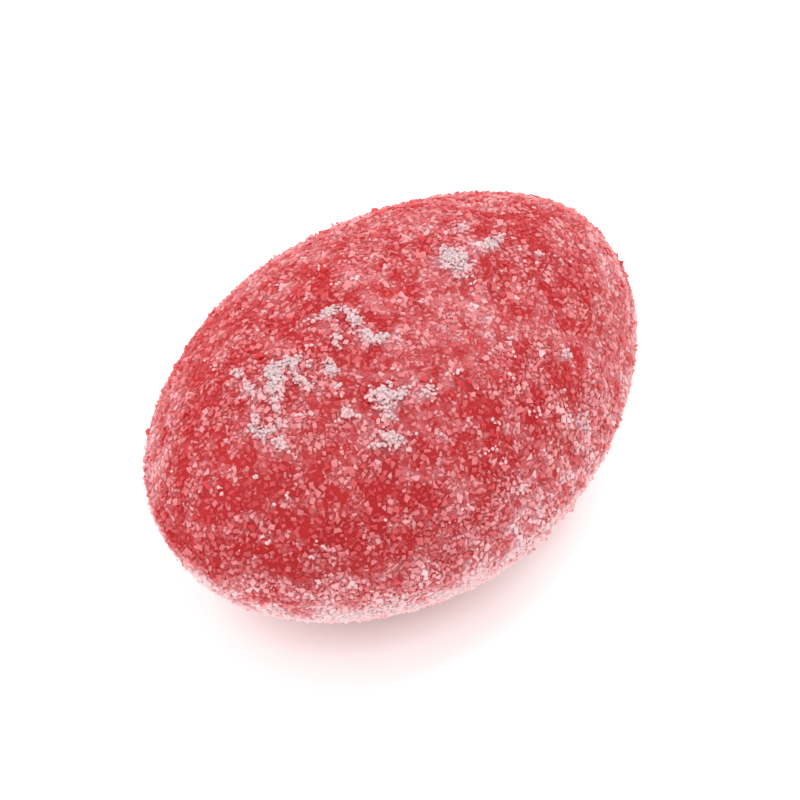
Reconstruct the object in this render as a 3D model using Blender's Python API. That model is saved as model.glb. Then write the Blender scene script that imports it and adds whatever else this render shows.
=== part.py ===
"""A sugared fruit drop: one oval boiled sweet, moulded in two domed halves and rolled in fine sugar.

The sweet is one solid. It lies on its lower dome, on a small flat, with +Z up and +X along it
towards its narrower end. The origin is under the middle of its box, where it rests.
"""

import math
import random

import bmesh
import bpy
from mathutils import Matrix, Vector, noise

MM = 0.001
UP = Vector((0, 0, 1))

# The moulded drop. A power of 2 is an ellipse, and less than 2 draws an outline to a blunt point.
LENGTH = 26.0 * MM
WIDTH = 17.8 * MM
THICKNESS = 13.2 * MM
PLAN_POWER = 1.83
DOME_POWER = 1.95
TAPER = 0.095  # share of the width that the +X end loses, and that the -X end gains
HALF_LENGTH, HALF_WIDTH, HALF_THICKNESS = LENGTH / 2, WIDTH / 2, THICKNESS / 2

# The seam where the two halves of the mould met, and how far out of line they were
BELT_HEIGHT = 0.9 * MM
BELT_PROUD = 0.13 * MM
BELT_EDGE_SHARE = 0.8  # what the belt keeps of BELT_PROUD at its upper and lower edge
BELT_GROOVE = 0.2 * MM  # height of the shallow step between the belt and each dome
LOWER_HALF_SHIFT = Vector((0.10, -0.16, 0.0)) * MM

# The flat that it cooled on, and the unevenness of a sweet that was dropped while warm
FLAT_DEPTH = 0.16 * MM
FLAT_HEIGHT = -HALF_THICKNESS + FLAT_DEPTH
DENT_DEPTH = 0.13 * MM
DENT_SPACING = 7.5 * MM
DENT_PLACE = Vector((3.1, 7.4, 1.9))

# The net of faces: steps round the outline, the turn from ring to ring up a dome, and the
# reach (0 in the middle, 1 on the outline) at which the rings of each dome end
ROUND_STEPS = 72
RING_TURN = math.radians(9.5)
UPPER_OPENING = 0.60
LOWER_OPENING = 0.12
SLOPE_STEP = 0.05 * MM  # the distance over which a slope is measured
PULLS = 3  # rounds that bring a point onto the drop

# Caked sugar: flattened ragged lumps, most of them in oval patches on the upper dome. Of each
# patch, in millimetres: its middle along and across the sweet, its half length and half width,
# and in degrees its turn.
CAKED_PATCHES = (
    # the broken crust on the blunt end
    ((-6.2, 1.3), (1.15, 0.80), -40),
    ((-7.5, 2.4), (0.70, 0.30), -100),
    ((-7.5, 0.5), (0.65, 0.45), -135),
    ((-8.9, 0.65), (0.75, 0.35), -130),
    ((-8.9, -0.6), (0.65, 0.40), -105),
    ((-7.7, -0.8), (0.60, 0.25), -130),
    ((-5.1, -0.6), (0.80, 0.25), -130),
    # the crust on its near side
    ((-5.0, -3.0), (0.50, 0.32), -95),
    ((-5.3, -3.8), (0.85, 0.55), -130),
    ((-6.4, -4.85), (0.85, 0.45), -15),
    ((-3.5, -4.05), (0.45, 0.25), -60),
    ((-4.8, -5.7), (0.50, 0.17), -50),
    ((-6.8, -2.5), (0.65, 0.35), -35),
    # the string over the top
    ((-2.9, 1.3), (0.50, 0.35), -35),
    ((-2.7, -0.15), (0.70, 0.25), -120),
    ((-2.8, -1.15), (0.60, 0.35), -55),
    # the far patch and its tail
    ((3.2, -0.5), (0.70, 0.70), -20),
    ((4.8, -0.9), (0.80, 0.45), 0),
    ((5.9, -0.95), (0.40, 0.20), 0),
)
LOWER_PATCHES = 4
LOWER_PATCH_SIZE = (1.0, 0.5)
LOWER_PATCH_REACH = (0.72, 0.90)
LUMPS_PER_MM2 = 4.6
LUMP_WIDTH = (0.45 * MM, 0.85 * MM)
LUMP_OVALITY = (0.6, 1.0)
LUMP_FLATNESS = 0.45
LUMP_RAGGEDNESS = 0.16  # how far a lump's corners stray, as a share of half its width
LUMP_SUNK = 0.25  # how deep a lump's middle lies, as a share of its half height

# The larger crystals, spread evenly: tilted blocks, sunk a little past their middle
CRYSTAL_COUNT = 220
CRYSTAL_WIDTH = (0.26 * MM, 0.38 * MM)
CRYSTAL_LENGTH_SHARE = (0.80, 1.25)
CRYSTAL_TILT = math.radians(35)
CRYSTAL_SUNK = 0.18  # how deep a crystal's middle lies, as a share of its width
BARE_BELOW = 1.1 * MM  # no sugar lies lower than this over the flat
SUGAR_SEED = 11

SUGARED_RED = (0.68, 0.15, 0.16, 1.0)
SUGARED_ROUGHNESS = 0.62
SHARP_ANGLE = math.radians(35)


def clear_scene():
    """Removes what the scene starts with."""
    for obj in list(bpy.data.objects):
        bpy.data.objects.remove(obj)


def signed_power(value, power):
    """value's size raised to power, with its sign kept."""
    return math.copysign(abs(value) ** power, value)


def width_share(x):
    """How wide the tapered sweet is at x, as a share of its width in the middle."""
    return 1.0 - TAPER * x / HALF_LENGTH


def plan_point(angle, reach):
    """A point of the oval plan, at the height of the seam."""
    x = HALF_LENGTH * reach * signed_power(math.cos(angle), 2 / PLAN_POWER)
    y = HALF_WIDTH * reach * signed_power(math.sin(angle), 2 / PLAN_POWER)
    return Vector((x, y * width_share(x), 0.0))


def plan_reach(point):
    """The reach of a point, seen from above."""
    along = abs(point.x / HALF_LENGTH) ** PLAN_POWER
    across = abs(point.y / (HALF_WIDTH * width_share(point.x))) ** PLAN_POWER
    return (along + across) ** (1 / PLAN_POWER)


def dome_height(reach):
    """How high a dome stands over the seam at a reach."""
    return HALF_THICKNESS * max(1.0 - reach**DOME_POWER, 0.0) ** (1 / DOME_POWER)


def dome_reach(height):
    """The reach at which a dome stands this high over the seam."""
    return (1.0 - (height / HALF_THICKNESS) ** DOME_POWER) ** (1 / DOME_POWER)


def fullness(point):
    """1 on the smooth drop, less inside it and more outside."""
    return plan_reach(point) ** DOME_POWER + abs(point.z / HALF_THICKNESS) ** DOME_POWER


def onto_drop(point):
    """The place on the smooth drop in line with its centre and a point near it."""
    for _ in range(PULLS):
        point = point / fullness(point) ** (1 / DOME_POWER)
    return point


def outward(place):
    """The direction straight out of the smooth drop at a place on it."""
    steps = [Vector(axis) * SLOPE_STEP for axis in ((1, 0, 0), (0, 1, 0), (0, 0, 1))]
    slopes = [fullness(place + step) - fullness(place - step) for step in steps]
    return Vector(slopes).normalized()


def dented(place):
    """A point of the sweet moved in or out by its gentle unevenness."""
    push = noise.noise(place / DENT_SPACING + DENT_PLACE) * DENT_DEPTH
    return place + place.normalized() * push


def lower_half_moved(place):
    """A point moved with the lower half of the mould, and less and less up the belt."""
    share = min(max(0.5 - place.z / BELT_HEIGHT, 0.0), 1.0)
    return place + LOWER_HALF_SHIFT * share


def half_section(opening):
    """(reach, height) pairs from the middle of the belt up one dome to its opening."""
    proud = BELT_PROUD / HALF_WIDTH
    dome_foot = BELT_HEIGHT / 2 + BELT_GROOVE
    section = [
        (1.0 + proud, 0.0),
        (1.0 + proud * BELT_EDGE_SHARE, BELT_HEIGHT / 2),
        (dome_reach(dome_foot), dome_foot),
    ]
    start = math.asin((dome_foot / HALF_THICKNESS) ** (DOME_POWER / 2))
    end = math.acos(opening ** (DOME_POWER / 2))
    rings = round((end - start) / RING_TURN)
    for ring in range(1, rings + 1):
        angle = start + (end - start) * ring / rings
        reach = math.cos(angle) ** (2 / DOME_POWER)
        section.append((reach, dome_height(reach)))
    return section


def spin_section(bm):
    """Spins the section of both halves once round, to an open body of reach 1."""
    lower = [(reach, -height) for reach, height in reversed(half_section(LOWER_OPENING)[1:])]
    section = lower + half_section(UPPER_OPENING)
    line = [bm.verts.new((reach, 0.0, height)) for reach, height in section]
    edges = [bm.edges.new(pair) for pair in zip(line, line[1:])]
    bmesh.ops.spin(
        bm,
        geom=line + edges,
        axis=(0, 0, 1),
        cent=(0, 0, 0),
        angle=math.tau,
        steps=ROUND_STEPS,
        use_merge=True,
    )


def pull_to_plan(bm):
    """Pulls each round ring out to the oval plan."""
    for vert in bm.verts:
        angle = math.atan2(vert.co.y, vert.co.x)
        reach = math.hypot(vert.co.x, vert.co.y)
        vert.co = plan_point(angle, reach) + UP * vert.co.z


def open_ring(start):
    """The verts of an open edge loop, in order from start."""
    ring, before = [start], None
    while True:
        here = ring[-1]
        after = next(
            edge.other_vert(here)
            for edge in here.link_edges
            if edge.is_boundary and edge.other_vert(here) is not before
        )
        if after is start:
            return ring
        ring.append(after)
        before = here


def close_upper_dome(bm):
    """Closes the opening of the upper dome with a square grid that follows the dome."""
    rim = [vert for vert in bm.verts if vert.is_boundary and vert.co.z > 0]
    ring = open_ring(max(rim, key=lambda vert: vert.co.x))
    corner, side = ROUND_STEPS // 8, ROUND_STEPS // 4
    ring = ring[corner:] + ring[:corner]
    chains = ring[: side + 1], ring[2 * side : 3 * side + 1]
    edges = [bm.edges.get(pair) for chain in chains for pair in zip(chain, chain[1:])]
    made = bmesh.ops.grid_fill(bm, edges=edges)
    inner = {vert for face in made["faces"] for vert in face.verts} - set(ring)
    for vert in inner:
        vert.co.z = dome_height(plan_reach(vert.co))


def cut_flat(bm):
    """Cuts the lower dome at the flat that the sweet rests on, and closes it with one face."""
    cut = bmesh.ops.bisect_plane(
        bm,
        geom=bm.verts[:] + bm.edges[:] + bm.faces[:],
        plane_co=UP * FLAT_HEIGHT,
        plane_no=UP,
        clear_inner=True,
    )
    edges = [edge for edge in cut["geom_cut"] if isinstance(edge, bmesh.types.BMEdge)]
    bmesh.ops.contextual_create(bm, geom=edges)


def moulded_drop():
    """The mesh of the bare sweet, with its seam and its flat, centred on the seam."""
    bm = bmesh.new()
    spin_section(bm)
    pull_to_plan(bm)
    close_upper_dome(bm)
    for vert in bm.verts:
        vert.co = lower_half_moved(dented(vert.co))
    cut_flat(bm)
    bmesh.ops.recalc_face_normals(bm, faces=bm.faces[:])
    mesh = bpy.data.meshes.new("candy")
    bm.to_mesh(mesh)
    bm.free()
    return mesh


def spiral_place(number, count):
    """One of count places that are spread evenly over the whole smooth drop."""
    golden_turn = math.pi * (3 - math.sqrt(5))
    level = 1 - 2 * (number + 0.5) / count
    reach = (1 - level * level) ** (1 / DOME_POWER)
    height = HALF_THICKNESS * signed_power(level, 2 / DOME_POWER)
    return plan_point(number * golden_turn, reach) + UP * height


def standing(place):
    """The turn that stands a grain upright on the drop at a place."""
    return UP.rotation_difference(outward(place)).to_matrix().to_4x4()


def add_grain(bm, place, sunk, collection):
    """Stands a grain on the real surface at a place of the smooth drop, clear of the flat."""
    proud = BELT_PROUD if abs(place.z) < BELT_HEIGHT / 2 else 0.0
    seat = lower_half_moved(dented(place)) + outward(place) * (proud - sunk)
    if seat.z > FLAT_HEIGHT + BARE_BELOW:
        bm.transform(Matrix.Translation(seat) @ standing(place))
        mesh = bpy.data.meshes.new("grain")
        bm.to_mesh(mesh)
        collection.objects.link(bpy.data.objects.new("grain", mesh))
    bm.free()


def add_lump(draw, place, collection):
    """A ragged flattened lump of caked sugar."""
    half_width = draw.uniform(*LUMP_WIDTH) / 2
    turn = Matrix.Rotation(draw.uniform(0, math.tau), 4, "Z")
    flatten = Matrix.Diagonal((1.0, draw.uniform(*LUMP_OVALITY), LUMP_FLATNESS, 1.0))
    bm = bmesh.new()
    bmesh.ops.create_icosphere(bm, subdivisions=1, radius=half_width)
    for vert in bm.verts:
        stray = Vector([draw.uniform(-1, 1) for _ in range(3)])
        vert.co += stray * LUMP_RAGGEDNESS * half_width
    bm.transform(turn @ flatten)
    add_grain(bm, place, LUMP_SUNK * LUMP_FLATNESS * half_width, collection)


def add_crystal(draw, place, collection):
    """One large crystal: a tilted block."""
    width = draw.uniform(*CRYSTAL_WIDTH)
    length = width * draw.uniform(*CRYSTAL_LENGTH_SHARE)
    turn = Matrix.Rotation(draw.uniform(0, math.tau), 4, "Z")
    tilt = Matrix.Rotation(draw.uniform(-CRYSTAL_TILT, CRYSTAL_TILT), 4, "X")
    bm = bmesh.new()
    bmesh.ops.create_cube(bm, size=1.0)
    bm.transform(turn @ tilt @ Matrix.Diagonal((length, width, width, 1.0)))
    add_grain(bm, place, CRYSTAL_SUNK * width, collection)


def add_patch(draw, middle, size, turn, collection):
    """One patch of caked sugar: lumps drawn evenly over an oval of this half length and width."""
    turned = standing(middle) @ Matrix.Rotation(math.radians(turn), 4, "Z")
    for _ in range(round(math.pi * size[0] * size[1] * LUMPS_PER_MM2)):
        angle = draw.uniform(0, math.tau)
        reach = math.sqrt(draw.random())
        spot = Vector((size[0] * math.cos(angle), size[1] * math.sin(angle), 0)) * reach * MM
        add_lump(draw, onto_drop(middle + turned @ spot), collection)


def upper_patches(draw, collection):
    """The patches on the upper dome."""
    for (along, across), size, turn in CAKED_PATCHES:
        spot = Vector((along, across, 0)) * MM
        middle = spot + UP * dome_height(plan_reach(spot))
        add_patch(draw, middle, size, turn, collection)


def lower_patches(draw, collection):
    """Patches of a like size at drawn places of the lower dome."""
    for _ in range(LOWER_PATCHES):
        reach = draw.uniform(*LOWER_PATCH_REACH)
        middle = plan_point(draw.uniform(0, math.tau), reach) - UP * dome_height(reach)
        add_patch(draw, middle, LOWER_PATCH_SIZE, draw.uniform(0, 180), collection)


def large_crystals(draw, collection):
    """The larger crystals, spread evenly over the whole sweet."""
    for number in range(CRYSTAL_COUNT):
        add_crystal(draw, spiral_place(number, CRYSTAL_COUNT), collection)


def fuse(body, collection):
    """Joins the collection's solids to the body with one Boolean union, and removes them."""
    union = body.modifiers.new("fuse", "BOOLEAN")
    union.operation = "UNION"
    union.operand_type = "COLLECTION"
    union.collection = collection
    union.solver = "EXACT"
    graph = bpy.context.evaluated_depsgraph_get()
    fused = bpy.data.meshes.new_from_object(body.evaluated_get(graph))
    body.modifiers.remove(union)
    body.data = fused
    for obj in list(collection.objects):
        bpy.data.objects.remove(obj)
    bpy.data.collections.remove(collection)


def settle_on_origin(mesh):
    """Moves the mesh so that its box stands on the origin, centred."""
    low = Vector([min(vert.co[i] for vert in mesh.vertices) for i in range(3)])
    high = Vector([max(vert.co[i] for vert in mesh.vertices) for i in range(3)])
    middle = (low + high) / 2
    mesh.transform(Matrix.Translation((-middle.x, -middle.y, -low.z)))


def sugared_material():
    """Red boiled sugar under a frosting of fine sugar."""
    material = bpy.data.materials.new("sugared_red")
    material.use_nodes = True
    shader = material.node_tree.nodes["Principled BSDF"]
    shader.inputs["Base Color"].default_value = SUGARED_RED
    shader.inputs["Roughness"].default_value = SUGARED_ROUGHNESS
    shader.inputs["Metallic"].default_value = 0.0
    return material


def main():
    clear_scene()
    candy = bpy.data.objects.new("candy", moulded_drop())
    bpy.context.scene.collection.objects.link(candy)
    sugar = bpy.data.collections.new("sugar")
    bpy.context.scene.collection.children.link(sugar)
    draw = random.Random(SUGAR_SEED)
    upper_patches(draw, sugar)
    lower_patches(draw, sugar)
    large_crystals(draw, sugar)
    fuse(candy, sugar)
    settle_on_origin(candy.data)
    candy.data.materials.clear()
    candy.data.materials.append(sugared_material())
    candy.data.shade_smooth()
    candy.data.set_sharp_from_angle(angle=SHARP_ANGLE)


main()
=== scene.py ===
"""The looks of a sugared fruit drop: translucent red boiled sugar under a coat of fine sugar.

The body is one fine mesh of the drop. The coat is meshes of loose grains, one for each kind, laid
on the body at true size: dust, fine sugar, grains, larger crystals, and lumps of caked sugar.
"""

import math

import bmesh
import bpy
import numpy as np
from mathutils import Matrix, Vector, noise


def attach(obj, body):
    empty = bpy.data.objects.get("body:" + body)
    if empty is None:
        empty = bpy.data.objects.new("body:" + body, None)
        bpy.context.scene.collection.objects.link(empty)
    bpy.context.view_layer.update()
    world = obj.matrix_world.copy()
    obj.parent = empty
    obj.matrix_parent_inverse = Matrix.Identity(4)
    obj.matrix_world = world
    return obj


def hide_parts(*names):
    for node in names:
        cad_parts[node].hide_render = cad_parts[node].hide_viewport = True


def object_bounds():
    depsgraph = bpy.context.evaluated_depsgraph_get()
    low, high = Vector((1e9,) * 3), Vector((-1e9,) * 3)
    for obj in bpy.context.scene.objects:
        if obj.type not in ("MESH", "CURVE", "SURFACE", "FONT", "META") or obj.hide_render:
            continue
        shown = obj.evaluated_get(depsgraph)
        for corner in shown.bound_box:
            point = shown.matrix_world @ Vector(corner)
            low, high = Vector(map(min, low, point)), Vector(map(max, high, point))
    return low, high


bl_info = {
    "name": "Sugared fruit drop",
    "version": (1, 0, 0),
    "blender": (4, 5, 0),
    "location": "View3D > Sidebar > Sweet",
    "description": "Models an oval boiled sweet with its coat of fine sugar",
    "category": "Mesh",
}

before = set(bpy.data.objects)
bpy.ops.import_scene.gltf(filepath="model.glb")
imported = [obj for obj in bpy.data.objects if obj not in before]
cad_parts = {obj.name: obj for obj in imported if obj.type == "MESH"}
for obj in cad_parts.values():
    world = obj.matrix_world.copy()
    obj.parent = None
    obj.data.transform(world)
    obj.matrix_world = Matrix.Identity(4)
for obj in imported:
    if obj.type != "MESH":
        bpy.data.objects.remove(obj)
cad_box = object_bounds()

MM = 0.001
NODE = "candy"
BODY = "root"
BODY_PIECE = "boiled_sweet"

# The drop's outlines, as powers: 2 is an ellipse, and less draws it to a blunt point
PLAN_POWER = 1.83
DOME_POWER = 1.95
PULLS = 3  # rounds that bring a point onto the drop
BODY_CUTS = 94  # cuts along each edge of the cube that is rounded into the body

# Where the middle of the seam lies in the frame, and how the mould's lower half is out of line
SEAM_MIDDLE = np.array((-0.030, 0.048, 6.440)) * MM
LOWER_HALF_SHIFT = np.array((0.10, -0.16, 0.0)) * MM
BELT_EDGE_SHARE = 0.8  # how proud the seam still is at its edges
REST_GAP = 0.03 * MM  # the sweet rests on its sugar, this far over the floor
DENT_PLACE = (3.1, 7.4, 1.9)  # picks where the dents fall
FINE_PIT_SPACING = 0.42  # the smaller pits beside the coarse ones, as shares of them
FINE_PIT_DEPTH = 0.5

# How frost lies on the drop: 0.1 is bare and red, and 2 is white
BARE_FROST, MOST_FROST = 0.1, 2.0
USUAL_FROST = 0.60
# Its drifts: how strong each size of them is, and how far apart they are.
BROAD_FROST, BROAD_SPACING = 0.22, 3.2 * MM
NARROW_FROST, NARROW_SPACING = 0.52, 1.1 * MM
SMALL_FROST, SMALL_SPACING = 0.55, 0.45 * MM
HALO_FROST = 0.7  # how much more there is round a caked patch
# Painted light: below the seam the frost is raised, so that the sweet is whiter there, standing in
# for light bounced up from the white floor, and more on the side toward the camera.
CAMERA_SIDE = np.array((-0.78, -0.63, 0.0))
CAMERA_SIDE_FADE = 14.0 * MM
FAR_BOUNCE_LIGHT, CAMERA_SIDE_MORE_BOUNCE = 0.55, 0.55
BOUNCE_LIGHT_START, BOUNCE_LIGHT_FADE = 0.46, 2.8 * MM
# Near its foot, that painted bounce light is weakened.
BOUNCE_CUT_BELOW, BOUNCE_CUT_FADE, BOUNCE_CUT_SHARE = -4.0 * MM, 1.5 * MM, 0.3
# From which frost the body itself looks hazy, and where it is full.
HAZE_START, HAZE_FULL = 0.45, 1.7

# The dust in the materials: how much its drifts lift the specks, the level that they have to rise
# over where nothing is covered, and how far under and over it the dust fades in
DRIFT_LIFT, BARE_LEVEL = 0.5, 1.1
DUST_EDGE = (-0.06, 0.10)

# How long, wide and high a grain is, least and most, as shares of its drawn width
LENGTH_SHARES, WIDTH_SHARES, HEIGHT_SHARES = (0.85, 1.30), (0.75, 1.05), (0.55, 0.85)
LUMP_HEIGHT_SHARES = (0.5, 0.8)

# How loose grains lie, and their tones: 0 is wet and clear, and 1 is frosted white
BARE_COVER, FROST_COVER = 0.55, 0.4  # how closely they lie, and how much closer on frost
GRAIN_REACH = 0.46  # how near to another a grain may lie, as a share of its width
SUNK_SHARES = (0.18, 0.50)  # how deep a grain sits in the sweet, as shares of its height
GRAIN_TILT, GRAIN_RAGGED = 0.45, 0.18
DRY_TONE = 0.62  # the tone of a dry grain
MIDDLE_FROST, THICK_FROST = 0.75, 1.1  # grains whiten over the one, and more over the other
FROST_WHITENS, THICK_WHITENS, CLUMP_WHITENS = 0.75, 0.8, 0.22
CLUMP_SPACING = 0.30 * MM
# A grain's foot is darker and clearer: partly painted shade and red light through the grain, partly
# melted sugar.
MELT_AND_SHADE_SHARE, MELT_AND_SHADE_UP_TO = 0.7, 1.9  # how clear a grain's foot is, and the frost that ends it

# How caked sugar lies, and its tones: 0 is pink, and 1 is white
LACE_SPACINGS = (0.55 * MM, 0.90 * MM, 0.28 * MM)  # of its strings and of its ragged edges
PATCH_EDGE = 0.03  # the least strength of a patch where sugar cakes
CRUMB_SPACING, CRUMB_LEVEL, CRUMB_COVER = 0.7 * MM, 0.45, 0.2
PILED = (-0.03 * MM, 0.18 * MM)  # how far over the sweet a lump lies
LUMP_TILT, LUMP_RAGGED = 0.4, 0.06
THIN_CAKE_TONE, THICK_CAKE_TONE, TONE_SPREAD = 0.28, 0.45, 0.20
THICKEST_CAKE = 1.6
# Painted shade: a lump's foot is pinker and darker.
LUMP_FOOT_SHADE = 0.5  # how much pinker a lump's foot is

# The stage, in metres. The lights: how far each is turned from the camera, its elevation, its
# distance and its size
KEY_PLACE = (math.radians(120), math.radians(67), 0.40, 0.15)
FILL_PLACE = (math.radians(-75), math.radians(58), 0.30, 0.32)
FLOOR_REACH = 0.6
# The floor's glow is dimmed round the sweet as a painted contact shadow: where the glow starts and
# is full, as shares of the sweet's outline, and how much of it is left beneath the sweet
PAINTED_SHADOW_FADE_START, PAINTED_SHADOW_FADE_END, GLOW_IN_PAINTED_SHADOW = 0.48, 0.80, 0.18

PLACE_FADE = 0.9  # how fast the places below fade toward their edges

# Patches of caked sugar on the upper dome. Of each, in millimetres: its middle along and across
# the sweet, its half length and half width; then its turn in degrees and how thickly it is caked.
CAKED_PATCHES = (
    # the broken crust on the blunt end: an arch, its two feet and the tail below it
    ((-5.6, 1.6), (0.85, 0.30), -43, 1.0),
    ((-6.5, 1.5), (0.80, 0.35), -128, 1.0),
    ((-6.0, 0.5), (0.62, 0.27), -90, 0.9),
    ((-7.4, 0.6), (0.64, 0.20), -132, 0.7),
    ((-6.7, 3.4), (0.45, 0.22), -110, 0.7),
    ((-7.2, 2.4), (0.50, 0.26), -103, 0.9),
    # the crust below it
    ((-8.7, 0.6), (0.54, 0.26), -106, 0.72),
    ((-8.6, -0.5), (0.67, 0.24), -113, 0.65),
    ((-8.1, 1.2), (0.55, 0.16), -128, 0.60),
    ((-8.0, -0.1), (0.87, 0.18), -30, 0.50),
    # a column and a wedge between the crusts
    ((-4.9, -0.3), (0.52, 0.26), -129, 1.1),
    ((-5.4, -1.1), (0.47, 0.18), -122, 0.7),
    ((-3.5, 0.5), (0.65, 0.18), -133, 0.5),
    ((-6.3, -2.0), (0.46, 0.22), -10, 0.75),
    ((-5.9, -2.4), (0.40, 0.16), -89, 0.5),
    # the crust in the middle, and the string under it
    ((-4.4, -2.7), (0.41, 0.28), -42, 1.0),
    ((-4.9, -3.5), (0.52, 0.32), -99, 0.9),
    ((-3.9, -3.3), (0.55, 0.22), -10, 0.8),
    ((-5.6, -4.2), (0.42, 0.26), -67, 0.95),
    ((-6.3, -3.9), (0.48, 0.15), -26, 0.6),
    ((-4.8, -4.7), (0.52, 0.14), -27, 0.5),
    ((-4.1, -5.3), (0.50, 0.17), -61, 0.55),
    ((-3.0, -4.0), (0.38, 0.30), -43, 0.7),
    ((-1.9, -4.0), (0.50, 0.16), -23, 0.4),
    # the string over the top
    ((-2.5, 1.8), (0.51, 0.30), -28, 0.95),
    ((-2.2, 0.6), (0.69, 0.24), -111, 0.95),
    ((-2.6, -0.5), (0.51, 0.25), -93, 0.9),
    ((-2.2, -1.1), (0.45, 0.20), -26, 0.7),
    # the far patch and its tail
    ((3.3, -0.4), (0.61, 0.71), -33, 1.6),
    ((5.2, -0.7), (0.50, 0.34), -11, 1.2),
    ((6.2, -0.8), (0.49, 0.19), -2, 0.7),
    ((5.3, 0.8), (0.58, 0.30), 2, 0.6),
    ((6.7, -2.3), (0.24, 0.20), -21, 0.9),
    ((6.1, -1.8), (0.25, 0.19), -10, 0.6),
    # faint patches down the near side
    ((1.6, -4.8), (0.55, 0.20), -136, 0.45),
    ((3.7, -6.2), (0.30, 0.23), -99, 0.7),
    ((2.6, -8.0), (0.40, 0.32), -73, 0.45),
    ((2.0, -8.5), (0.60, 0.18), 3, 0.42),
    ((-2.2, -8.4), (0.40, 0.20), -21, 0.40),
    ((-10.1, -0.7), (0.44, 0.16), -57, 0.45),
    ((-10.1, -2.4), (0.49, 0.15), -69, 0.40),
    ((-10.9, -4.0), (0.41, 0.12), -52, 0.40),
)

# Places on the upper dome where the loose sugar lies closer, or thinner where the last number is
# negative. The other numbers are as above.
FROST_PLACES = (
    ((1.0, -2.7), (1.8, 1.1), -18, 0.40),
    ((3.8, -7.7), (2.5, 0.7), 24, 0.35),
    ((-1.7, -8.6), (2.3, 0.8), -2, 0.30),
    ((10.3, -3.3), (2.4, 1.1), 56, 0.35),
    ((-11.1, 2.0), (1.1, 0.6), 54, 0.20),
    ((0.9, -8.2), (2.2, 0.4), 9, 0.35),
    ((-3.9, -8.6), (0.8, 0.3), 1, 0.30),
    ((1.7, 0.1), (2.0, 1.0), -63, 0.35),
    ((-2.9, -3.3), (0.9, 0.5), -73, 0.40),
    ((1.2, -3.8), (1.3, 0.7), -94, 0.25),
    ((-5.4, 0.1), (1.1, 0.6), -84, 0.45),
    ((-10.3, 5.0), (2.6, 0.3), -138, 0.30),
    ((-3.3, -0.3), (1.0, 0.5), -107, 0.20),
    ((2.9, 0.0), (1.8, 0.7), -65, 0.20),
    ((-4.9, -3.2), (0.9, 0.7), -60, 0.35),
    ((3.9, -1.9), (1.9, 0.6), -23, -0.25),
    ((8.2, 0.0), (1.6, 0.6), -16, -0.20),
    ((-1.4, -6.1), (1.7, 0.6), -48, -0.30),
    ((-8.8, -5.0), (2.1, 0.7), -48, -0.15),
    ((-3.7, 6.1), (1.4, 1.4), -15, -0.25),
    ((-5.9, -1.2), (1.5, 0.4), -52, -0.20),
    ((-3.6, -1.5), (1.0, 0.4), -65, -0.25),
    ((-2.4, -5.5), (1.4, 0.5), -12, -0.35),
    ((7.5, -2.4), (1.2, 1.3), -61, -0.30),
    ((-6.9, 5.3), (2.0, 0.5), -115, -0.30),
    ((-10.1, -1.3), (1.5, 0.5), -54, -0.22),
    ((-3.2, -7.6), (0.8, 0.5), -56, -0.20),
    ((-5.3, -2.2), (0.5, 0.5), -32, -0.25),
    ((-9.5, 2.4), (1.4, 0.5), -113, -0.30),
    ((-8.9, -3.2), (1.6, 0.4), -58, -0.22),
    ((-2.4, -7.6), (0.8, 0.5), -59, -0.25),
    ((3.5, -3.5), (1.5, 0.6), -86, -0.25),
    ((-4.5, 8.0), (1.3, 0.3), -131, -0.25),
    ((-4.5, 8.0), (0.9, 0.9), -20, -0.30),
    ((-0.7, -6.9), (0.9, 0.7), -75, 0.28),
    ((-4.6, -6.2), (0.7, 0.4), -53, 0.30),
    ((-7.0, -6.5), (0.7, 0.3), -40, 0.30),
    ((-11.5, -4.1), (0.9, 0.2), -55, 0.30),
    ((-7.9, 0.6), (0.9, 0.4), -96, -0.25),
)


def clip01(values):
    """Values held between 0 and 1."""
    return np.clip(values, 0.0, 1.0)


def unit(vectors):
    """Vectors, one a row, at length 1."""
    return vectors / np.linalg.norm(vectors, axis=1, keepdims=True)


def noise_at(points, spacing, start=(0, 0, 0)):
    """Smooth noise, about -1 to 1, at points: one swell or hollow for each spacing.

    Each use of it starts elsewhere, so that no two look alike.
    """
    return np.array([noise.noise(Vector(point)) for point in points / spacing + np.array(start)])


# ---------------------------------------------------------------- sizes and colours


class SweetForm(bpy.types.PropertyGroup):
    """The moulded drop."""

    length: bpy.props.FloatProperty(
        name="Length", description="Length of the bare drop", default=26.0 * MM, unit="LENGTH"
    )
    width: bpy.props.FloatProperty(
        name="Width", description="Width of the bare drop", default=17.8 * MM, unit="LENGTH"
    )
    thickness: bpy.props.FloatProperty(
        name="Thickness", description="From dome to dome", default=13.2 * MM, unit="LENGTH"
    )
    taper: bpy.props.FloatProperty(
        name="Taper", description="Share of the width lost at the narrow end", default=0.095
    )
    belt_height: bpy.props.FloatProperty(
        name="Seam height", description="Height of the seam", default=0.9 * MM, unit="LENGTH"
    )
    belt_proud: bpy.props.FloatProperty(
        name="Seam proud", description="How far it stands out", default=0.13 * MM, unit="LENGTH"
    )
    belt_groove: bpy.props.FloatProperty(
        name="Seam step", description="How high the step is", default=0.2 * MM, unit="LENGTH"
    )
    flat_depth: bpy.props.FloatProperty(
        name="Flat depth", description="Cut off where it rests", default=0.16 * MM, unit="LENGTH"
    )
    dent_depth: bpy.props.FloatProperty(
        name="Dent depth", description="Of its unevenness", default=0.13 * MM, unit="LENGTH"
    )
    dent_spacing: bpy.props.FloatProperty(
        name="Dent spacing", description="From dent to dent", default=7.5 * MM, unit="LENGTH"
    )
    pit_depth: bpy.props.FloatProperty(
        name="Pit depth", description="Depth of the small pits", default=0.020 * MM, unit="LENGTH"
    )
    pit_spacing: bpy.props.FloatProperty(
        name="Pit spacing", description="From pit to pit", default=0.55 * MM, unit="LENGTH"
    )


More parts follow.
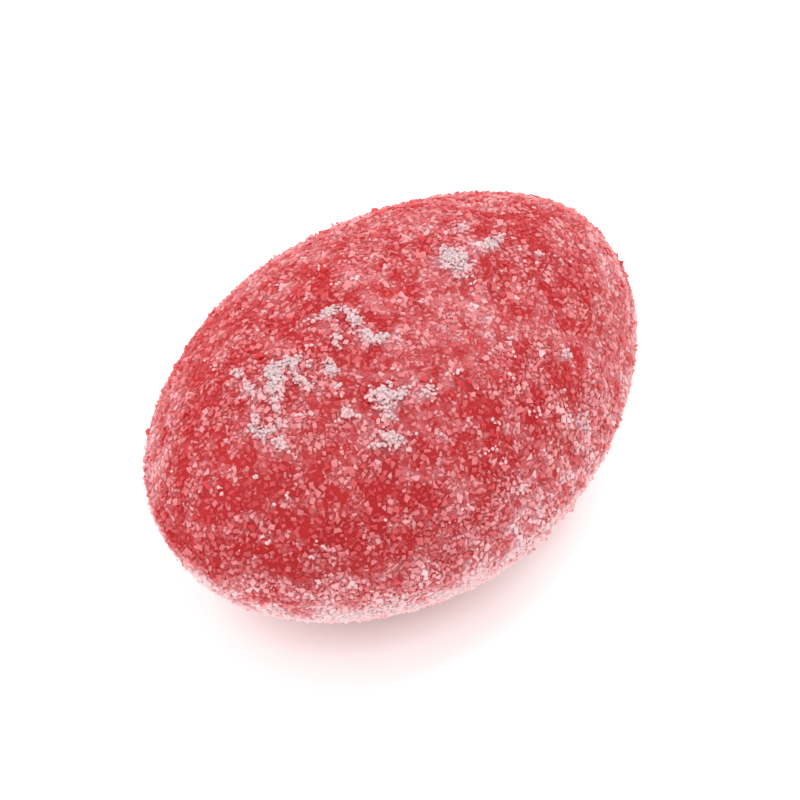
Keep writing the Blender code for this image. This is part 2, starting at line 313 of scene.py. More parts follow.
def count_of(name, description, default):
    """The number of grains of one kind."""
    return bpy.props.IntProperty(name=name, description=description, default=default, min=1)


def widths_of(name, narrowest, widest):
    """The narrowest and the widest grain of one kind."""
    return bpy.props.FloatVectorProperty(
        name=name,
        description="Narrowest and widest",
        size=2,
        default=(narrowest, widest),
        unit="LENGTH",
    )


def colour_of(name, description, default):
    """A colour of the sweet or its stage."""
    return bpy.props.FloatVectorProperty(
        name=name, description=description, subtype="COLOR", default=default
    )


class SweetSugar(bpy.types.PropertyGroup):
    """The coat of sugar: how many grains of each kind, and how wide they are."""

    seed: bpy.props.IntProperty(name="Seed", description="Draws another coat", default=7)
    dust_count: count_of("Dust", "The finest grains", 125000)
    dust_width: widths_of("Dust width", 0.08 * MM, 0.13 * MM)
    fine_count: count_of("Fine sugar", "Grains of fine sugar", 34000)
    fine_width: widths_of("Fine width", 0.13 * MM, 0.19 * MM)
    grain_count: count_of("Grains", "Grains of middle size", 22000)
    grain_width: widths_of("Grain width", 0.17 * MM, 0.25 * MM)
    crystal_count: count_of("Crystals", "The larger crystals", 3000)
    crystal_width: widths_of("Crystal width", 0.22 * MM, 0.31 * MM)
    caked_count: count_of("Caked lumps", "Lumps in the caked patches", 3100)
    caked_width: widths_of("Caked width", 0.10 * MM, 0.21 * MM)


class SweetColours(bpy.types.PropertyGroup):
    """The colours of the sweet and its sugar."""

    boiled: colour_of("Boiled sugar", "The red body", (0.60, 0.0072, 0.0104))
    clear: colour_of("Clear grain", "A wet grain", (0.55, 0.036, 0.0435))
    dry: colour_of("Dry grain", "A dry grain", (0.95, 0.455, 0.475))
    caked: colour_of("Caked sugar", "The caked patches", (0.555, 0.478, 0.489))
    thick: colour_of("Thick cake", "Where it is thickest", (0.74, 0.525, 0.54))
    haze: colour_of("Haze", "Sugar dust", (0.92, 0.265, 0.285))
    frosted: colour_of("Frosted grain", "The palest grain", (0.93, 0.58, 0.59))
    floor: colour_of("Floor", "The pale floor", (0.68, 0.68, 0.68))


class SweetStudio(bpy.types.PropertyGroup):
    """The camera and the lights."""

    azimuth: bpy.props.FloatProperty(
        name="Azimuth", description="Round the sweet", subtype="ANGLE", default=math.radians(-51)
    )
    elevation: bpy.props.FloatProperty(
        name="Elevation", description="Over the floor", subtype="ANGLE", default=math.radians(46)
    )
    lens: bpy.props.FloatProperty(name="Lens", description="Focal length in mm", default=400.0)
    view_width: bpy.props.FloatProperty(
        name="View width", description="At the sweet", default=34.5 * MM, unit="LENGTH"
    )
    sky: bpy.props.FloatProperty(name="Sky", description="Light from all round", default=0.92)
    key: bpy.props.FloatProperty(name="Key light", description="From behind", default=0.33)
    fill: bpy.props.FloatProperty(name="Fill light", description="From the left", default=0.39)
    glow: bpy.props.FloatProperty(name="Floor glow", description="From below", default=0.42)


# ---------------------------------------------------------------- the shape of the drop


def fullness(form, points):
    """1 on the smooth drop, less inside it and more outside. Points are measured from the seam."""
    x, y, z = points.T
    half_width = form.width / 2 * (1.0 - form.taper * x / (form.length / 2))
    plan = np.abs(x / (form.length / 2)) ** PLAN_POWER + np.abs(y / half_width) ** PLAN_POWER
    return plan ** (DOME_POWER / PLAN_POWER) + np.abs(z / (form.thickness / 2)) ** DOME_POWER


def onto_drop(form, points):
    """Points pulled onto the smooth drop in line with its centre."""
    for _ in range(PULLS):
        points = points / fullness(form, points)[:, None] ** (1 / DOME_POWER)
    return points


def dome_reach(form, height):
    """How near to the outline, which is 1, the dome is at a height over the seam."""
    return (1.0 - (height / (form.thickness / 2)) ** DOME_POWER) ** (1 / DOME_POWER)


def with_belt(form, points):
    """Points of the smooth drop with the seam's belt pushed out round them."""
    edge = form.belt_height / 2
    foot = edge + form.belt_groove
    proud = form.belt_proud / (form.width / 2)
    height = np.abs(points[:, 2])
    belt_reach = np.interp(
        height,
        (0.0, edge, foot),
        (1.0 + proud, 1.0 + proud * BELT_EDGE_SHARE, dome_reach(form, foot)),
    )
    low = height < foot
    pushed = points.copy()
    pushed[low, :2] *= (belt_reach[low] / dome_reach(form, height[low]))[:, None]
    return pushed


def dented(form, points):
    """Points moved in or out by the drop's gentle unevenness."""
    push = noise_at(points, form.dent_spacing, DENT_PLACE) * form.dent_depth
    return points + unit(points) * push[:, None]


def lower_half_moved(form, points):
    """Points moved with the lower half of the mould, and less and less up the belt."""
    share = clip01(0.5 - points[:, 2] / form.belt_height)
    return points + LOWER_HALF_SHIFT * share[:, None]


def pitted(form, points, outward):
    """Points moved in or out by the small pits of a sanded surface."""
    coarse = noise_at(points, form.pit_spacing)
    small = noise_at(points, form.pit_spacing * FINE_PIT_SPACING, (5, 5, 5))
    return points + outward * ((coarse + FINE_PIT_DEPTH * small) * form.pit_depth)[:, None]


def read_vectors(values, name):
    """A (count, 3) array of an attribute of vertices or of vertex normals."""
    array = np.empty(len(values) * 3, dtype=np.float32)
    values.foreach_get(name, array)
    return array.reshape(-1, 3).astype(float)


def place_vertices(mesh, points):
    """Moves a mesh's vertices to points."""
    mesh.vertices.foreach_set("co", np.asarray(points, dtype=np.float32).ravel())
    mesh.update()


def drop_mesh(form):
    """The fine mesh of the bare drop: a cube cut to a fine grid and rounded, in the frame."""
    bm = bmesh.new()
    bmesh.ops.create_cube(bm, size=2.0)
    bmesh.ops.subdivide_edges(bm, edges=bm.edges[:], cuts=BODY_CUTS, use_grid_fill=True)
    mesh = bpy.data.meshes.new(BODY_PIECE)
    bm.to_mesh(mesh)
    bm.free()
    half_sizes = np.array((form.length, form.width, form.thickness)) / 2
    ball = unit(np.tan(read_vectors(mesh.vertices, "co") * math.pi / 4))
    points = with_belt(form, onto_drop(form, ball * half_sizes))
    points = lower_half_moved(form, dented(form, points))
    place_vertices(mesh, points)
    points = pitted(form, points, read_vectors(mesh.vertex_normals, "vector"))
    points[:, 2] = np.maximum(points[:, 2], -form.thickness / 2 + form.flat_depth + REST_GAP)
    place_vertices(mesh, points + SEAM_MIDDLE)
    mesh.shade_smooth()
    # the frost, with painted bounce light below the seam, kept for the material
    frost_and_bounce_light = mesh.attributes.new("frost_and_bounce_light", "FLOAT", "POINT")
    frost_and_bounce_light.data.foreach_set("value", frost_and_bounce_light_at(points).astype(np.float32))
    return mesh


# ---------------------------------------------------------------- materials


def new_group(name, inputs, outputs):
    """An empty node group with its sockets, and its input and output nodes."""
    group = bpy.data.node_groups.new(name, "ShaderNodeTree")
    for label, kind, default in inputs:
        socket = group.interface.new_socket(label, in_out="INPUT", socket_type=kind)
        socket.default_value = default
    for label, kind in outputs:
        group.interface.new_socket(label, in_out="OUTPUT", socket_type=kind)
    return group, group.nodes.new("NodeGroupInput"), group.nodes.new("NodeGroupOutput")


def sugar_dust_group():
    """Dust finer than a grain: a mask of specks, and their height."""
    group, given, result = new_group(
        "sugar_dust",
        (
            ("Spacing", "NodeSocketFloat", 0.1 * MM),
            ("Cover", "NodeSocketFloat", 0.4),
            ("Drift", "NodeSocketFloat", 2.0 * MM),
        ),
        (("Mask", "NodeSocketFloat"), ("Height", "NodeSocketFloat")),
    )
    nodes, links = group.nodes, group.links
    place = nodes.new("ShaderNodeTexCoord")
    per_spacing = nodes.new("ShaderNodeMath")
    per_spacing.operation = "DIVIDE"
    per_spacing.inputs[0].default_value = 1.0
    links.new(given.outputs["Spacing"], per_spacing.inputs[1])
    per_drift = nodes.new("ShaderNodeMath")
    per_drift.operation = "DIVIDE"
    per_drift.inputs[0].default_value = 1.0
    links.new(given.outputs["Drift"], per_drift.inputs[1])

    specks = nodes.new("ShaderNodeTexNoise")
    specks.inputs["Detail"].default_value = 2.0
    links.new(place.outputs["Object"], specks.inputs["Vector"])
    links.new(per_spacing.outputs[0], specks.inputs["Scale"])
    drift = nodes.new("ShaderNodeTexNoise")
    drift.inputs["Detail"].default_value = 3.0
    links.new(place.outputs["Object"], drift.inputs["Vector"])
    links.new(per_drift.outputs[0], drift.inputs["Scale"])

    # the dust lies where the specks, lifted by the drifts, rise over a level that the cover lowers
    lift = nodes.new("ShaderNodeMath")
    lift.operation = "MULTIPLY_ADD"
    lift.inputs[1].default_value = DRIFT_LIFT
    links.new(drift.outputs["Fac"], lift.inputs[0])
    links.new(specks.outputs["Fac"], lift.inputs[2])
    level = nodes.new("ShaderNodeMath")
    level.operation = "SUBTRACT"
    level.inputs[0].default_value = BARE_LEVEL
    links.new(given.outputs["Cover"], level.inputs[1])
    over = nodes.new("ShaderNodeMath")
    over.operation = "SUBTRACT"
    links.new(lift.outputs[0], over.inputs[0])
    links.new(level.outputs[0], over.inputs[1])
    mask = nodes.new("ShaderNodeMapRange")
    mask.inputs["From Min"].default_value = DUST_EDGE[0]
    mask.inputs["From Max"].default_value = DUST_EDGE[1]
    links.new(over.outputs[0], mask.inputs["Value"])
    links.new(mask.outputs["Result"], result.inputs["Mask"])
    links.new(specks.outputs["Fac"], result.inputs["Height"])
    return group


def new_material(name):
    """A material with its Principled shader, and its nodes and links."""
    material = bpy.data.materials.new(name)
    material.use_nodes = True
    tree = material.node_tree
    return material, tree.nodes["Principled BSDF"], tree.nodes, tree.links


def dust_node(nodes, spacing, cover, drift):
    """The shared dust, set for one material."""
    group = bpy.data.node_groups.get("sugar_dust") or sugar_dust_group()
    node = nodes.new("ShaderNodeGroup")
    node.node_tree = group
    node.inputs["Spacing"].default_value = spacing
    node.inputs["Cover"].default_value = cover
    node.inputs["Drift"].default_value = drift
    return node


def ramp_node(nodes, links, factor, stops):
    """A colour that goes through stops, each a share and its colour, as a factor rises."""
    ramp = nodes.new("ShaderNodeValToRGB")
    for index, (share, colour) in enumerate(stops):  # a new ramp has two stops
        stop = ramp.color_ramp.elements[index] if index < 2 else ramp.color_ramp.elements.new(share)
        stop.position = share
        stop.color = (*colour, 1.0)
    links.new(factor, ramp.inputs["Fac"])
    return ramp.outputs["Color"]


def bump_node(nodes, links, height, distance, strength):
    """A bump whose normal comes from a height."""
    bump = nodes.new("ShaderNodeBump")
    bump.inputs["Distance"].default_value = distance
    bump.inputs["Strength"].default_value = strength
    links.new(height, bump.inputs["Height"])
    return bump.outputs["Normal"]


def rough_where_dusty(nodes, links, dust, shader, clean, dusty):
    """Roughness that goes from the clean value to the dusty one with the dust."""
    rough = nodes.new("ShaderNodeMapRange")
    rough.inputs["To Min"].default_value = clean
    rough.inputs["To Max"].default_value = dusty
    links.new(dust.outputs["Mask"], rough.inputs["Value"])
    links.new(rough.outputs["Result"], shader.inputs["Roughness"])


def light_through(shader, share, radius, scale):
    """Sets a shader as sugar, which lets light in: the share that goes in, and how far it goes."""
    shader.inputs["IOR"].default_value = 1.5
    shader.inputs["Specular IOR Level"].default_value = 0.3
    shader.inputs["Subsurface Weight"].default_value = share
    shader.inputs["Subsurface Radius"].default_value = radius
    shader.inputs["Subsurface Scale"].default_value = scale


def boiled_sugar_material(colours):
    """Translucent red boiled sugar with a film of sugar dust on it, thicker where it is frosty and,
    as painted bounce light, below the seam.
    """
    material, shader, nodes, links = new_material("boiled_sugar")
    dust = dust_node(nodes, spacing=0.11 * MM, cover=0.42, drift=2.2 * MM)
    frost_and_bounce_light = nodes.new("ShaderNodeAttribute")
    frost_and_bounce_light.attribute_name = "frost_and_bounce_light"
    thin = nodes.new("ShaderNodeMapRange")
    thin.inputs["From Min"].default_value = HAZE_START
    thin.inputs["From Max"].default_value = HAZE_FULL
    links.new(frost_and_bounce_light.outputs["Fac"], thin.inputs["Value"])
    haze = nodes.new("ShaderNodeMath")
    haze.operation = "MULTIPLY"
    links.new(thin.outputs["Result"], haze.inputs[0])
    links.new(dust.outputs["Mask"], haze.inputs[1])
    stops = ((0.0, colours.boiled), (0.75, colours.haze), (1.0, colours.frosted))
    colour = ramp_node(nodes, links, haze.outputs[0], stops)
    links.new(colour, shader.inputs["Base Color"])
    rough_where_dusty(nodes, links, dust, shader, clean=0.34, dusty=0.62)
    normal = bump_node(nodes, links, dust.outputs["Height"], distance=0.03 * MM, strength=0.6)
    links.new(normal, shader.inputs["Normal"])
    light_through(shader, share=1.0, radius=(1.0, 0.10, 0.07), scale=3.5 * MM)
    return material


def grain_material(name, stops, lit_through):
    """Sugar grains, each with its own tone: the stops are tones and their colours.

    lit_through is the share of the light that goes into a grain and through it.
    """
    material, shader, nodes, links = new_material(name)
    tone = nodes.new("ShaderNodeAttribute")
    tone.attribute_name = "tone"
    colour = ramp_node(nodes, links, tone.outputs["Fac"], stops)
    links.new(colour, shader.inputs["Base Color"])
    dust = dust_node(nodes, spacing=0.05 * MM, cover=0.5, drift=0.6 * MM)
    rough_where_dusty(nodes, links, dust, shader, clean=0.18, dusty=0.50)
    light_through(shader, share=lit_through, radius=(1.0, 0.6, 0.55), scale=0.25 * MM)
    return material


# ---------------------------------------------------------------- the coat of sugar


def body_surface():
    """(triangles, doubled areas, outward directions) of the body's mesh, as arrays."""
    mesh = bpy.data.meshes.get(BODY_PIECE)
    if mesh is None:
        raise RuntimeError("The sugar is laid on the boiled sweet, so that is modelled first")
    mesh.calc_loop_triangles()
    corners = np.empty(len(mesh.loop_triangles) * 3, dtype=np.int32)
    mesh.loop_triangles.foreach_get("vertices", corners)
    triangles = read_vectors(mesh.vertices, "co")[corners].reshape(-1, 3, 3)
    across = np.cross(triangles[:, 1] - triangles[:, 0], triangles[:, 2] - triangles[:, 0])
    doubled = np.linalg.norm(across, axis=1)
    return triangles, doubled, across / doubled[:, None]


def scatter(draw, surface, density, count):
    """(places, outward directions) of count places on a surface, closer where density is more."""
    triangles, doubled, outward = surface
    chance = doubled * density
    picked = draw.choice(len(triangles), size=count, p=chance / chance.sum())
    first, second = draw.random((2, count))
    over = first + second > 1
    first[over], second[over] = 1 - first[over], 1 - second[over]
    corner = triangles[picked]
    places = (
        corner[:, 0]
        + first[:, None] * (corner[:, 1] - corner[:, 0])
        + second[:, None] * (corner[:, 2] - corner[:, 0])
    )
    return places, outward[picked]


def uncrowded(places, reaches):
    """Which places stay when each must keep clear of those before it, by the sum of reaches."""
    cell = 2 * reaches.max()
    taken = {}
    stays = np.zeros(len(places), dtype=bool)
    around = [(i, j, k) for i in (-1, 0, 1) for j in (-1, 0, 1) for k in (-1, 0, 1)]
    cells = np.floor(places / cell).astype(int).tolist()
    for index, ((x, y, z), reach) in enumerate(zip(places.tolist(), reaches.tolist())):
        a, b, c = cells[index]
        near = (taken.get((a + i, b + j, c + k), ()) for i, j, k in around)
        if all(
            (x - u) ** 2 + (y - v) ** 2 + (z - w) ** 2 > (reach + other) ** 2
            for group in near
            for u, v, w, other in group
        ):
            taken.setdefault((a, b, c), []).append((x, y, z, reach))
            stays[index] = True
    return stays


def block_shape():
    """The corners and faces of a block 1 across, for one crystal."""
    bm = bmesh.new()
    bmesh.ops.create_cube(bm, size=1.0)
    return taken_shape(bm)


def chip_shape():
    """The corners and faces of a chip 1 across, eight-sided, for the finest sugar."""
    bm = bmesh.new()
    bmesh.ops.create_uvsphere(bm, u_segments=4, v_segments=2, radius=0.5)
    return taken_shape(bm)


def lump_shape():
    """The corners and faces of a round lump 1 across, for caked sugar."""
    bm = bmesh.new()
    bmesh.ops.create_icosphere(bm, subdivisions=1, radius=0.5)
    return taken_shape(bm)


def taken_shape(bm):
    """A bmesh's corners and faces as arrays, and the bmesh freed."""
    bm.verts.index_update()
    corners = np.array([vert.co for vert in bm.verts])
    faces = np.array([[vert.index for vert in face.verts] for face in bm.faces])
    bm.free()
    return corners, faces


def stood(draw, outward, tilt):
    """Three directions for each grain: along, across and up from the surface, at a drawn turn."""
    up = unit(outward + draw.normal(0, tilt, outward.shape))
    along = unit(np.cross(draw.normal(0, 1, outward.shape), up))
    return np.stack((along, np.cross(up, along), up), axis=1)


def joined_grains(name, draw, shape, places, outward, sizes, tones, melt_and_foot_shade, sunk, tilt, ragged):
    """One mesh of many grains: a copy of the shape at each place, pressed flat by the floor.

    A grain's foot is darker than its top by the share melt_and_foot_shade: partly painted shade and
    red light through the grain, and partly because it has melted into the sweet.
    sunk is how deep each one sits, and tilt and ragged are how much they differ from each other.
    """
    corners, faces = shape
    strays = draw.uniform(-ragged, ragged, (len(places), *corners.shape))
    shaped = (corners + strays) * sizes[:, None, :]
    turned = np.einsum("nij,njk->nik", shaped, stood(draw, outward, tilt))
    grains = turned + (places - outward * sunk[:, None])[:, None, :]
    shown = grains[:, :, 2].max(axis=1) > REST_GAP
    grains, tones, melt_and_foot_shade = grains[shown], tones[shown], melt_and_foot_shade[shown]
    grains[:, :, 2] = np.maximum(grains[:, :, 2], 0.0)
    count, each = len(grains), len(corners)
    all_faces = faces[None, :, :] + (np.arange(count) * each)[:, None, None]
    mesh = bpy.data.meshes.new(name)
    mesh.from_pydata(grains.reshape(-1, 3), [], all_faces.reshape(-1, faces.shape[1]).tolist())
    tone = mesh.attributes.new("tone", "FLOAT", "POINT")
    # painted shade: each grain's tone falls toward its foot, partly for melted sugar
    shades = clip01(tones[:, None] * (1.0 - np.outer(melt_and_foot_shade, 0.5 - corners[:, 2])))
    tone.data.foreach_set("value", shades.ravel().astype(np.float32))
    return mesh


def placed(points, places):
    """How strongly a table of places acts at points of the upper dome. Each fades at its edge."""
    total = np.zeros(len(points))
    for (along, across), (long_way, short_way), turn, strength in places:
        cos, sin = math.cos(math.radians(turn)), math.sin(math.radians(turn))
        x, y = points[:, 0] - along * MM, points[:, 1] - across * MM
        u = (x * cos + y * sin) / (long_way * MM)
        v = (y * cos - x * sin) / (short_way * MM)
        total += strength * np.exp(-PLACE_FADE * (u * u + v * v))
    total[points[:, 2] < 0] = 0.0
    return total


def caked_density(points):
    """How thickly sugar is caked at points of the drop: in ragged patches, and in stray crumbs."""
    string, broad, small = LACE_SPACINGS
    strings = 1.0 - 3.0 * np.abs(noise_at(points, string, (2, 9, 4)))
    ragged = 0.5 * noise_at(points, broad, (3, 3, 6)) + 0.8 * noise_at(points, small)
    patches = placed(points, CAKED_PATCHES)
    crumbs = clip01(noise_at(points, CRUMB_SPACING, (6, 2, 8)) - CRUMB_LEVEL)
    lace = clip01(patches * (0.80 + 0.35 * strings) + 0.7 * ragged - 0.35)
    return lace * (patches > PATCH_EDGE) + CRUMB_COVER * crumbs


def frost_and_bounce_light_at(points):
    """How frosty the drop is at points of it, from 0.1 where it is bare to 2 where it is white, and
    whiter below the seam with painted light bounced up from the floor.
    """
    broad = noise_at(points, BROAD_SPACING, (4, 1, 7))
    narrow = noise_at(points, NARROW_SPACING, (8, 3, 2))
    small = noise_at(points, SMALL_SPACING, (1, 6, 5))
    uneven = BROAD_FROST * broad + NARROW_FROST * narrow + SMALL_FROST * small
    # Painted light: near is the side toward the camera and low the lower half, where the frost is
    # raised to stand in for light bounced up from the white floor.
    near = clip01(0.5 + points @ CAMERA_SIDE / CAMERA_SIDE_FADE)
    low = clip01(BOUNCE_LIGHT_START - points[:, 2] / BOUNCE_LIGHT_FADE + 0.25 * broad + 0.15 * narrow)
    bounce_cut = BOUNCE_CUT_SHARE * clip01((BOUNCE_CUT_BELOW - points[:, 2]) / BOUNCE_CUT_FADE)
    floor_bounce_light = low * (FAR_BOUNCE_LIGHT + CAMERA_SIDE_MORE_BOUNCE * near) * (1.0 - bounce_cut)
    halo = HALO_FROST * placed(points, CAKED_PATCHES)
    frost_and_bounce_light = USUAL_FROST + uneven + floor_bounce_light + halo + placed(points, FROST_PLACES)
    return np.clip(frost_and_bounce_light, BARE_FROST, MOST_FROST)


def loose_tones(draw, places, frost_and_bounce_light, dryness, spread):
    """The tone of each loose grain: whiter where it is frosty, and below the seam with painted
    bounce light, and in clumps, and drawn about its kind's.
    """
    clumped = noise_at(places, CLUMP_SPACING, (7, 7, 1))
    whiter = (
        FROST_WHITENS * (frost_and_bounce_light - MIDDLE_FROST)
        + THICK_WHITENS * np.maximum(frost_and_bounce_light - THICK_FROST, 0.0)
        + CLUMP_WHITENS * clumped
    )
    return DRY_TONE * np.maximum(dryness + whiter + draw.normal(0, spread, len(places)), 0.0)


def drawn_sizes(draw, widths, count, height_shares=HEIGHT_SHARES):
    """Sizes along, across and up for each grain."""
    width = draw.uniform(widths[0], widths[1], count)
    shares = (LENGTH_SHARES, WIDTH_SHARES, height_shares)
    return np.stack([width * draw.uniform(*share, count) for share in shares], axis=1)


# ---------------------------------------------------------------- operators


def add_piece(mesh, material):
    """Puts a finished mesh in the scene as a piece of the sweet."""
    mesh.materials.append(material)
    piece = bpy.data.objects.new(mesh.name, mesh)
    bpy.context.scene.collection.objects.link(piece)
    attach(piece, BODY)
    return piece


class SWEET_OT_body(bpy.types.Operator):
    """Models the bare boiled sweet in place of the plain solid"""

    bl_idname = "sweet.body"
    bl_label = "Boiled sweet"

    def execute(self, context):
        scene = context.scene
        piece = add_piece(drop_mesh(scene.sweet_form), boiled_sugar_material(scene.sweet_colours))
        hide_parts(NODE)
        return {"FINISHED"}


class SWEET_OT_sugar(bpy.types.Operator):
    """Lays the loose sugar on the sweet, one piece for each size of grain"""

    bl_idname = "sweet.sugar"
    bl_label = "Loose sugar"

    def execute(self, context):
        sugar, colours = context.scene.sweet_sugar, context.scene.sweet_colours
        draw = np.random.default_rng(sugar.seed)
        surface = body_surface()
        middles = surface[0].mean(axis=1) - SEAM_MIDDLE
        density = BARE_COVER + FROST_COVER * frost_and_bounce_light_at(middles)
        stops = ((0.0, colours.clear), (DRY_TONE, colours.dry), (1.0, colours.frosted))
        material = grain_material("sugar_grain", stops, lit_through=0.7)
        block, chip = block_shape(), chip_shape()
        # each kind's piece, shape, count, widths, how dry it is on average, and how unevenly
        kinds = (
            ("sugar_crystals", block, sugar.crystal_count, sugar.crystal_width, 0.34, 0.15),
            ("sugar_grains", block, sugar.grain_count, sugar.grain_width, 0.40, 0.13),
            ("sugar_fine", block, sugar.fine_count, sugar.fine_width, 0.40, 0.12),
            ("sugar_dust", chip, sugar.dust_count, sugar.dust_width, 0.36, 0.10),
        )
        drawn = []
        for _, _, count, width, _, _ in kinds:
            drawn.append((*scatter(draw, surface, density, count), drawn_sizes(draw, width, count)))
        places = np.concatenate([kind[0] for kind in drawn])
        reaches = np.concatenate([kind[2][:, :2].mean(axis=1) * GRAIN_REACH for kind in drawn])
        ends = np.cumsum([kind[2] for kind in kinds])
        for kind, laid, stays in zip(kinds, drawn, np.split(uncrowded(places, reaches), ends[:-1])):
            name, shape, _, _, dryness, spread = kind
            places, outward, sizes = (array[stays] for array in laid)
            frost_and_bounce_light = frost_and_bounce_light_at(places - SEAM_MIDDLE)
            tones = loose_tones(draw, places - SEAM_MIDDLE, frost_and_bounce_light, dryness, spread)
            sunk = sizes[:, 2] * draw.uniform(*SUNK_SHARES, len(places))
            # darker grain feet: painted shade and red light through each grain, and partly melted
            # sugar
            melt_and_foot_shade = MELT_AND_SHADE_SHARE * clip01(MELT_AND_SHADE_UP_TO - frost_and_bounce_light)
            grains = (shape, places, outward, sizes, tones, melt_and_foot_shade)
            mesh = joined_grains(name, draw, *grains, sunk, GRAIN_TILT, GRAIN_RAGGED)
            add_piece(mesh, material)
        return {"FINISHED"}


class SWEET_OT_caked_sugar(bpy.types.Operator):
    """Piles the caked sugar in its patches"""

    bl_idname = "sweet.caked_sugar"
    bl_label = "Caked sugar"

    def execute(self, context):
        scene = context.scene
        sugar, colours = scene.sweet_sugar, scene.sweet_colours
        draw = np.random.default_rng(sugar.seed + 1)
        surface = body_surface()
        density = caked_density(surface[0].mean(axis=1) - SEAM_MIDDLE)
        count = sugar.caked_count
        places, outward = scatter(draw, surface, density, count)
        sizes = drawn_sizes(draw, sugar.caked_width, count, LUMP_HEIGHT_SHARES)
        piled = draw.uniform(*PILED, count)
        thick = np.minimum(placed(places - SEAM_MIDDLE, CAKED_PATCHES), THICKEST_CAKE)
        spread = draw.normal(0, TONE_SPREAD, count)
        tones = clip01(THIN_CAKE_TONE + THICK_CAKE_TONE * thick + spread)
        # each lump's foot darkened as painted shade
        lumps = (lump_shape(), places, outward, sizes, tones, np.full(count, LUMP_FOOT_SHADE))
        mesh = joined_grains("sugar_caked", draw, *lumps, -piled, LUMP_TILT, LUMP_RAGGED)
        stops = ((0.0, colours.dry), (0.68, colours.caked), (0.90, colours.thick))
        add_piece(mesh, grain_material("sugar_caked", stops, lit_through=0.0))
        return {"FINISHED"}


def look_from(azimuth, elevation):
    """The direction from the sweet to a camera or a light."""
    return Vector(
        (
            math.sin(azimuth) * math.cos(elevation),
            -math.cos(azimuth) * math.cos(elevation),
            math.sin(elevation),
        )
    )


def add_area_light(name, from_azimuth, place, level):
    """A soft square light, whose level is the light that it gives a white wall facing it.

    Its place is its turn from an azimuth, its elevation, its distance and its size.
    """
    turn, elevation, distance, size = place
    direction = look_from(from_azimuth + turn, elevation)
    light = bpy.data.lights.new(name, "AREA")
    light.shape = "SQUARE"
    light.size = size
    light.energy = level * math.pi**2 * distance**2
    lamp = bpy.data.objects.new(name, light)
    lamp.location = direction * distance
    lamp.rotation_mode = "QUATERNION"
    lamp.rotation_quaternion = direction.to_track_quat("Z", "Y")
    bpy.context.scene.collection.objects.link(lamp)


def floor_mesh():
    """A wide flat floor."""
    bm = bmesh.new()
    bmesh.ops.create_grid(bm, x_segments=8, y_segments=8, size=FLOOR_REACH)
    mesh = bpy.data.meshes.new("floor")
    bm.to_mesh(mesh)
    bm.free()
    return mesh


def floor_material(colour, glow, form):
    """A pale light table: smooth board with a faint tooth, glowing from below, with a painted
    contact shadow where the glow is dimmed beneath and round the sweet.
    """
    material, shader, nodes, links = new_material("floor")
    tooth = nodes.new("ShaderNodeTexNoise")
    tooth.inputs["Scale"].default_value = 900.0
    place = nodes.new("ShaderNodeTexCoord")
    links.new(place.outputs["Object"], tooth.inputs["Vector"])
    normal = bump_node(nodes, links, tooth.outputs["Fac"], distance=0.02 * MM, strength=0.2)
    links.new(normal, shader.inputs["Normal"])
    shader.inputs["Base Color"].default_value = (*colour, 1.0)
    shader.inputs["Roughness"].default_value = 0.7
    shader.inputs["Emission Strength"].default_value = glow
    # how far out a place is, where 1 is under the sweet's outline
    shares = nodes.new("ShaderNodeVectorMath")
    shares.operation = "DIVIDE"
    shares.inputs[1].default_value = (form.length / 2, form.width / 2, 1.0)
    links.new(place.outputs["Object"], shares.inputs[0])
    reach = nodes.new("ShaderNodeVectorMath")
    reach.operation = "LENGTH"
    links.new(shares.outputs["Vector"], reach.inputs[0])
    # painted contact shadow: the glow is dimmed near the sweet
    painted_shadow_glow = nodes.new("ShaderNodeMapRange")
    painted_shadow_glow.inputs["From Min"].default_value = PAINTED_SHADOW_FADE_START
    painted_shadow_glow.inputs["From Max"].default_value = PAINTED_SHADOW_FADE_END
    painted_shadow_glow.inputs["To Min"].default_value = GLOW_IN_PAINTED_SHADOW
    links.new(reach.outputs["Value"], painted_shadow_glow.inputs["Value"])
    links.new(painted_shadow_glow.outputs["Result"], shader.inputs["Emission Color"])
    return material


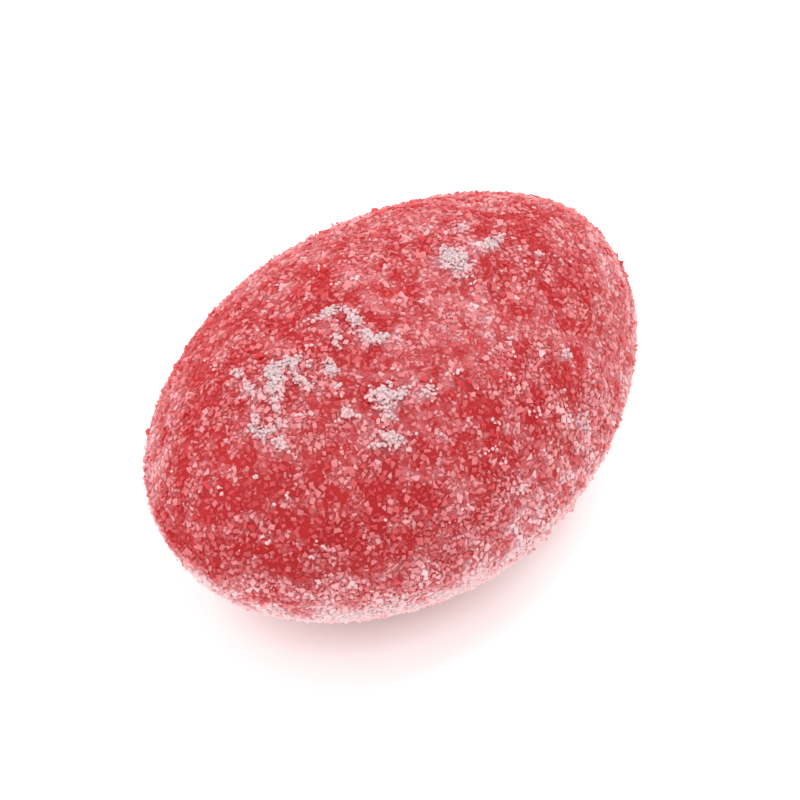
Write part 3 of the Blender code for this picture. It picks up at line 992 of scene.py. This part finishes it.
class SWEET_OT_stage(bpy.types.Operator):
    """Sets the floor, the lights and the camera"""

    bl_idname = "sweet.stage"
    bl_label = "Stage"

    def execute(self, context):
        scene, studio = context.scene, context.scene.sweet_studio
        floor = bpy.data.objects.new("floor", floor_mesh())
        material = floor_material(scene.sweet_colours.floor, studio.glow, scene.sweet_form)
        floor.data.materials.append(material)
        scene.collection.objects.link(floor)

        world = bpy.data.worlds.new("sky")
        world.use_nodes = True
        background = world.node_tree.nodes["Background"]
        background.inputs["Color"].default_value = (1.0, 1.0, 1.0, 1.0)
        background.inputs["Strength"].default_value = studio.sky
        scene.world = world

        add_area_light("key", studio.azimuth, KEY_PLACE, studio.key)
        add_area_light("fill", studio.azimuth, FILL_PLACE, studio.fill)

        camera = bpy.data.cameras.new("camera")
        camera.sensor_width = 36.0
        camera.lens = studio.lens
        camera.clip_start = 0.01
        view = bpy.data.objects.new("camera", camera)
        toward = look_from(studio.azimuth, studio.elevation)
        target = Vector((cad_box[0] + cad_box[1]) / 2)
        view.location = target + toward * (studio.view_width * studio.lens / camera.sensor_width)
        view.rotation_mode = "QUATERNION"
        view.rotation_quaternion = toward.to_track_quat("Z", "Y")
        scene.collection.objects.link(view)
        scene.camera = view
        scene.view_settings.view_transform = "Standard"
        return {"FINISHED"}


class SWEET_PT_panel(bpy.types.Panel):
    """The sweet's sizes, colours and steps, in the sidebar"""

    bl_idname = "SWEET_PT_panel"
    bl_label = "Sugared fruit drop"
    bl_space_type = "VIEW_3D"
    bl_region_type = "UI"
    bl_category = "Sweet"

    def draw(self, context):
        for name in GROUPS:
            group = getattr(context.scene, name)
            box = self.layout.box()
            for prop in group.bl_rna.properties[2:]:  # without the two that every group has
                box.prop(group, prop.identifier)
        for step in STEPS:
            self.layout.operator(step.bl_idname)


GROUPS = {
    "sweet_form": SweetForm,
    "sweet_sugar": SweetSugar,
    "sweet_colours": SweetColours,
    "sweet_studio": SweetStudio,
}
STEPS = (SWEET_OT_body, SWEET_OT_sugar, SWEET_OT_caked_sugar, SWEET_OT_stage)


def register():
    """Registers the classes and hangs the groups on the scene."""
    for cls in (*GROUPS.values(), *STEPS, SWEET_PT_panel):
        bpy.utils.register_class(cls)
    for name, cls in GROUPS.items():
        setattr(bpy.types.Scene, name, bpy.props.PointerProperty(type=cls))


def unregister():
    """Takes them off again."""
    for name in GROUPS:
        delattr(bpy.types.Scene, name)
    for cls in reversed((*GROUPS.values(), *STEPS, SWEET_PT_panel)):
        bpy.utils.unregister_class(cls)


def main():
    """Makes the sweet, its sugar and the stage."""
    register()
    bpy.ops.sweet.body()
    bpy.ops.sweet.sugar()
    bpy.ops.sweet.caked_sugar()
    bpy.ops.sweet.stage()


if __name__ == "__main__":
    main()
